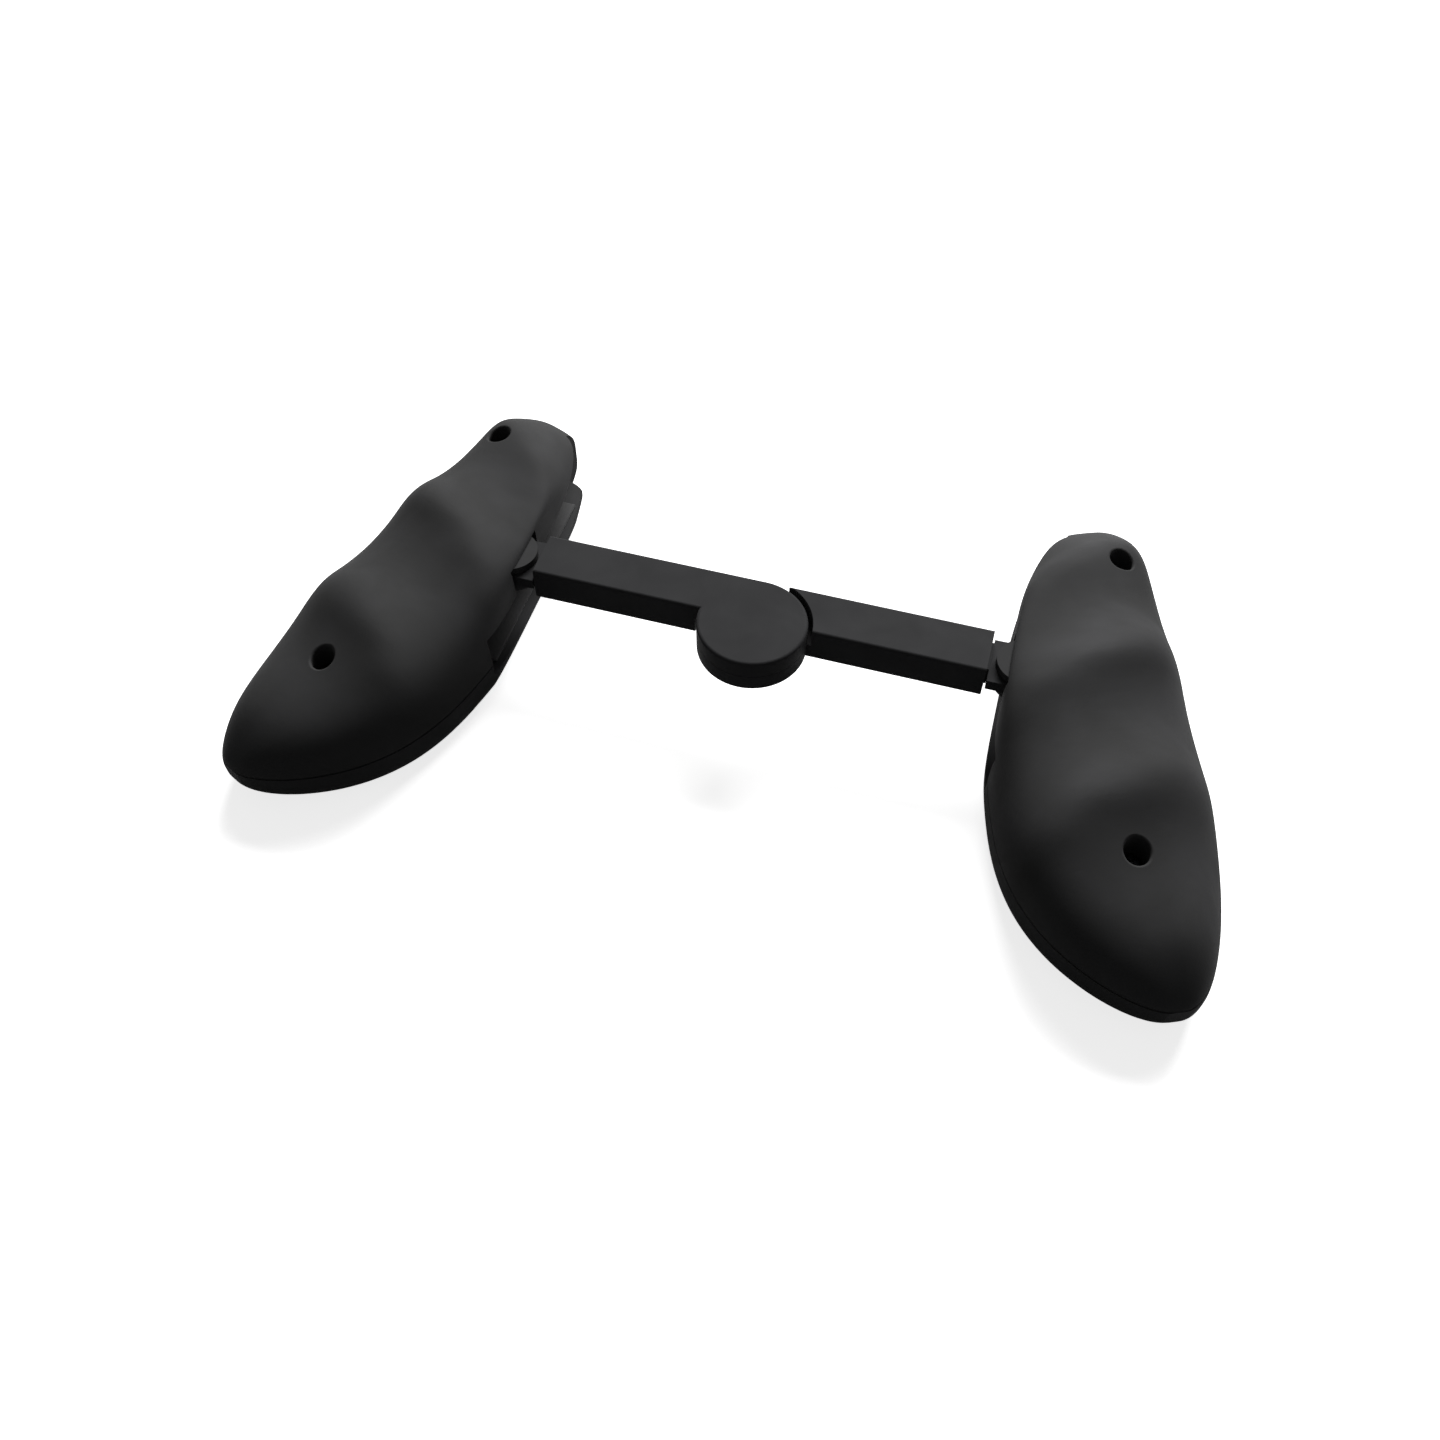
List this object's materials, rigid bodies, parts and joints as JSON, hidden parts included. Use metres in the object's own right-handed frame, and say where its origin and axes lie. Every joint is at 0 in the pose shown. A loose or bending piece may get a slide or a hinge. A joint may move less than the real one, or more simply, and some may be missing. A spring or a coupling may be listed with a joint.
{
  "type": "telescoping phone grip",
  "caption": "Folding, telescoping grip with two scalloped handles that clamp a phone between sprung slides for handheld gaming.",
  "frame": {"origin": "on the plane the handles' front faces rest on, under the middle of the outline", "axes": "+X to the right handle, +Y to the handles' tops, +Z to the finger side"},
  "size_m": [0.181, 0.1024, 0.0273],
  "materials": {
    "shell": "fine matte moulding texture",
    "arm": "fine matte moulding texture",
    "pad": "matte rubber",
    "bush": "smooth acetal",
    "pin": "ground steel",
    "spring": "drawn spring wire",
    "screw": "black oxide"
  },
  "bodies": {
    "left_arm": {"left_sleeve": "arm", "left_mouth_bush": "bush", "left_spring_pin": "pin", "left_slide_spring": "spring", "hinge_screw": "screw"},
    "right_arm": {"right_sleeve": "arm", "right_mouth_bush": "bush", "right_spring_pin": "pin", "right_slide_spring": "spring", "hinge_washer": "bush"},
    "left_slide": {"left_slide": "arm"},
    "right_slide": {"right_slide": "arm"},
    "left_handle": {"left_back_shell": "shell", "left_front_shell": "shell", "left_channel_pad": "pad", "left_lip_pad": "pad", "left_knuckle_block": "shell", "left_knuckle_pin": "pin", "left_shell_screws": "screw", "left_knuckle_screws": "screw"},
    "right_handle": {"right_back_shell": "shell", "right_front_shell": "shell", "right_channel_pad": "pad", "right_lip_pad": "pad", "right_knuckle_block": "shell", "right_knuckle_pin": "pin", "right_shell_screws": "screw", "right_knuckle_screws": "screw"}
  },
  "joints": [
    {"name": "fold_hinge", "type": "hinge", "parent": "left_arm", "child": "right_arm", "pos_m": [0, -0.00156, 0.01935], "axis": [0, 0, 1], "range_deg": [-90, 0]},
    {"name": "left_slide", "type": "slide", "parent": "left_arm", "child": "left_slide", "axis": [-1, 0, 0], "range_m": [0, 0.022], "stiffness_N_per_m": 200, "springref_m": -0.008, "deforming": ["left_slide_spring"]},
    {"name": "left_knuckle", "type": "hinge", "parent": "left_slide", "child": "left_handle", "pos_m": [-0.0496, 0.00379, 0.01915], "axis": [0, 0, 1], "range_deg": [-15, 15]},
    {"name": "right_slide", "type": "slide", "parent": "right_arm", "child": "right_slide", "axis": [1, 0, 0], "range_m": [0, 0.022], "stiffness_N_per_m": 200, "springref_m": -0.008, "deforming": ["right_slide_spring"]},
    {"name": "right_knuckle", "type": "hinge", "parent": "right_slide", "child": "right_handle", "pos_m": [0.0496, 0.00379, 0.01915], "axis": [0, 0, 1], "range_deg": [-15, 15]}
  ]
}
